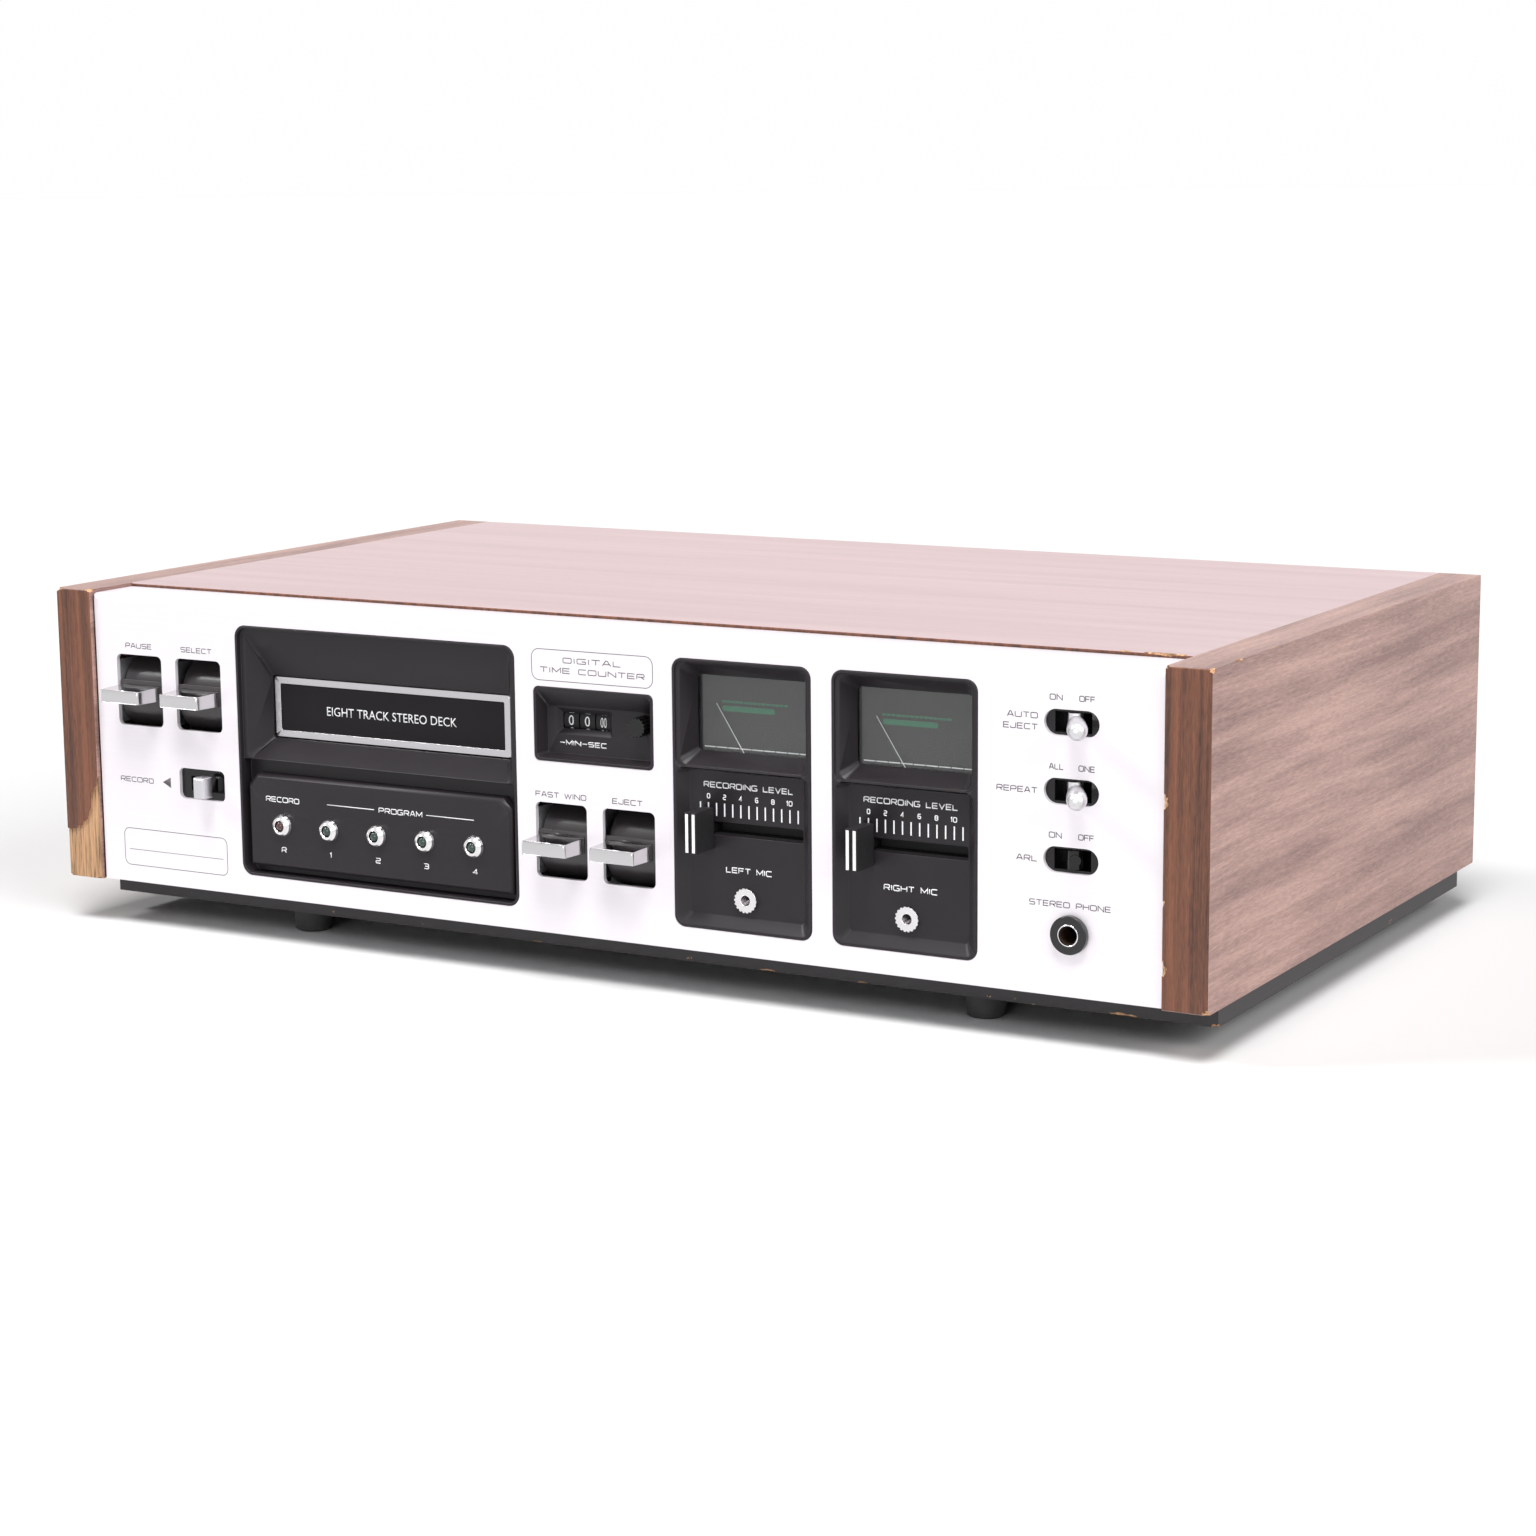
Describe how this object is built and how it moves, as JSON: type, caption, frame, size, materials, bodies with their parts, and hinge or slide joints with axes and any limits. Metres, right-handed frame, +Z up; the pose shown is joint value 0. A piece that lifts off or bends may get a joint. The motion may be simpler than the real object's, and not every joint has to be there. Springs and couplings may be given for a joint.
{
  "type": "8 track player",
  "caption": "Eight-track tape recorder deck in a walnut cabinet, with a cartridge door, key levers, time counter, level meters and faders.",
  "frame": {"origin": "on the floor, below the middle of the whole deck", "axes": "+X to the right along the front, -Y out of the front, +Z up"},
  "size_m": [0.47, 0.2822, 0.1291],
  "materials": {
    "walnut": "satin",
    "plinth_black": "matt",
    "foot_rubber": "matt",
    "zinc_sheet": "satin",
    "silver_plate": "brushed",
    "charcoal_abs": "satin",
    "black_abs": "gloss",
    "dark_abs": "matt",
    "bright_chrome": "polished",
    "lens_green": "gloss",
    "steel": "satin",
    "glass_clear": "clear",
    "white_abs": "satin",
    "black_steel": "satin",
    "belt_rubber": "matt",
    "cast_wheel": "machined",
    "brass_turned": "machined",
    "board_green": "satin"
  },
  "bodies": {
    "cabinet": {"side_panel_left": "walnut", "side_panel_right": "walnut", "top_panel": "walnut", "base_board": "plinth_black", "rubber_feet": "foot_rubber", "chassis": "zinc_sheet", "rear_panel": "black_steel", "rear_jacks": "steel", "cord_gland": "dark_abs", "rear_screws": "steel", "front_plate": "silver_plate", "bay_bezel": "charcoal_abs", "door_pin": "steel", "door_spring": "steel", "cartridge_deck": "dark_abs", "lamp_rings": "bright_chrome", "lamp_lenses": "lens_green", "key_shafts": "steel", "key_brackets": "zinc_sheet", "switch_bodies": "dark_abs", "counter_bezel": "charcoal_abs", "counter_frame": "zinc_sheet", "level_bezel_left": "charcoal_abs", "level_bezel_right": "charcoal_abs", "meter_bodies": "dark_abs", "meter_glasses": "glass_clear", "fader_bodies": "zinc_sheet", "mic_jacks": "steel", "phone_jack": "dark_abs", "drive_motor": "zinc_sheet", "drive_belt": "belt_rubber", "transformer": "black_steel", "main_board": "board_green"},
    "door": {"cartridge_door": "dark_abs", "door_trim": "bright_chrome"},
    "pause": {"pause_key": "bright_chrome", "pause_drum": "black_abs"},
    "select": {"select_key": "bright_chrome", "select_drum": "black_abs"},
    "fast_wind": {"fast_wind_key": "bright_chrome", "fast_wind_drum": "black_abs"},
    "eject": {"eject_key": "bright_chrome", "eject_drum": "black_abs"},
    "record": {"record_knob": "bright_chrome"},
    "seconds": {"seconds_wheel": "dark_abs"},
    "minutes": {"minutes_wheel": "dark_abs"},
    "tens": {"tens_wheel": "dark_abs"},
    "reset": {"reset_knob": "black_abs"},
    "needle_l": {"needle_left": "white_abs"},
    "needle_r": {"needle_right": "white_abs"},
    "level_l": {"fader_knob_left": "black_abs"},
    "level_r": {"fader_knob_right": "black_abs"},
    "auto_eject": {"auto_eject_lever": "bright_chrome"},
    "repeat": {"repeat_lever": "bright_chrome"},
    "limiter": {"limiter_lever": "dark_abs"},
    "capstan": {"flywheel": "cast_wheel"},
    "pulley": {"motor_pulley": "brass_turned"},
    "cam": {"track_cam": "white_abs"},
    "head": {"tape_head": "bright_chrome", "head_carriage": "zinc_sheet"}
  },
  "joints": [
    {"name": "door_hinge", "type": "hinge", "parent": "cabinet", "child": "door", "pos_m": [-0.0899, -0.11154, 0.1029], "axis": [1, 0, 0], "range_deg": [0, 90], "stiffness_Nm_per_rad": 0.004, "springref_deg": -22.92},
    {"name": "pause_hinge", "type": "hinge", "parent": "cabinet", "child": "pause", "pos_m": [-0.1978, -0.10904, 0.091], "axis": [1, 0, 0], "range_deg": [0, 20]},
    {"name": "select_hinge", "type": "hinge", "parent": "cabinet", "child": "select", "pos_m": [-0.1698, -0.10904, 0.091], "axis": [1, 0, 0], "range_deg": [0, 20], "stiffness_Nm_per_rad": 0.02, "springref_deg": -17.19},
    {"name": "fast_wind_hinge", "type": "hinge", "parent": "cabinet", "child": "fast_wind", "pos_m": [-0.0096, -0.10904, 0.0505], "axis": [1, 0, 0], "range_deg": [0, 20], "stiffness_Nm_per_rad": 0.02, "springref_deg": -17.19},
    {"name": "eject_hinge", "type": "hinge", "parent": "cabinet", "child": "eject", "pos_m": [0.0183, -0.10904, 0.0505], "axis": [1, 0, 0], "range_deg": [0, 20], "stiffness_Nm_per_rad": 0.02, "springref_deg": -17.19},
    {"name": "record_slide", "type": "slide", "parent": "cabinet", "child": "record", "axis": [-1, 0, 0], "range_m": [0, 0.0086]},
    {"name": "seconds_axle", "type": "hinge", "parent": "cabinet", "child": "seconds", "pos_m": [0.0038, -0.11044, 0.0934], "axis": [1, 0, 0], "continuous": true},
    {"name": "minutes_axle", "type": "hinge", "parent": "cabinet", "child": "minutes", "pos_m": [-0.0029, -0.11044, 0.0934], "axis": [1, 0, 0], "continuous": true},
    {"name": "tens_axle", "type": "hinge", "parent": "cabinet", "child": "tens", "pos_m": [-0.0096, -0.11044, 0.0934], "axis": [1, 0, 0], "continuous": true},
    {"name": "reset_axle", "type": "hinge", "parent": "cabinet", "child": "reset", "pos_m": [0.0226, -0.12394, 0.0944], "axis": [0, 1, 0], "range_deg": [0, 180]},
    {"name": "needle_left_pivot", "type": "hinge", "parent": "cabinet", "child": "needle_l", "pos_m": [0.0637, -0.11494, 0.0795], "axis": [0, 1, 0], "range_deg": [0, 65.6], "stiffness_Nm_per_rad": 0.00002, "springref_deg": -17.19},
    {"name": "needle_right_pivot", "type": "hinge", "parent": "cabinet", "child": "needle_r", "pos_m": [0.12575, -0.11494, 0.0795], "axis": [0, 1, 0], "range_deg": [0, 65.6], "stiffness_Nm_per_rad": 0.00002, "springref_deg": -17.19},
    {"name": "level_left_fader", "type": "slide", "parent": "cabinet", "child": "level_l", "axis": [1, 0, 0], "range_m": [0, 0.0317]},
    {"name": "level_right_fader", "type": "slide", "parent": "cabinet", "child": "level_r", "axis": [1, 0, 0], "range_m": [0, 0.0317]},
    {"name": "auto_eject_toggle", "type": "hinge", "parent": "cabinet", "child": "auto_eject", "pos_m": [0.1862, -0.12194, 0.1081], "axis": [0, 0, 1], "range_deg": [-52, 0]},
    {"name": "repeat_toggle", "type": "hinge", "parent": "cabinet", "child": "repeat", "pos_m": [0.1862, -0.12194, 0.0856], "axis": [0, 0, 1], "range_deg": [-52, 0]},
    {"name": "limiter_toggle", "type": "hinge", "parent": "cabinet", "child": "limiter", "pos_m": [0.1862, -0.12194, 0.0631], "axis": [0, 0, 1], "range_deg": [-52, 0]},
    {"name": "capstan_bearing", "type": "hinge", "parent": "cabinet", "child": "capstan", "pos_m": [-0.131, -0.01494, 0.0435], "axis": [0, 0, 1], "continuous": true},
    {"name": "motor_bearing", "type": "hinge", "parent": "cabinet", "child": "pulley", "pos_m": [-0.003, -0.01494, 0.0435], "axis": [0, 0, 1], "continuous": true},
    {"name": "cam_stud", "type": "hinge", "parent": "cabinet", "child": "cam", "pos_m": [-0.0519, 0.00706, 0.0834], "axis": [0, 0, 1], "range_deg": [0, 270]},
    {"name": "head_lift", "type": "slide", "parent": "cabinet", "child": "head", "axis": [0, 0, 1], "range_m": [0, 0.0024]}
  ],
  "couplings": [
    {"joint": "minutes_axle", "follows": "seconds_axle", "ratio": 0.1},
    {"joint": "tens_axle", "follows": "seconds_axle", "ratio": 0.01},
    {"joint": "motor_bearing", "follows": "capstan_bearing", "ratio": 5.0833},
    {"joint": "cam_stud", "follows": "head_lift", "rad_per_m": 1963.5}
  ]
}
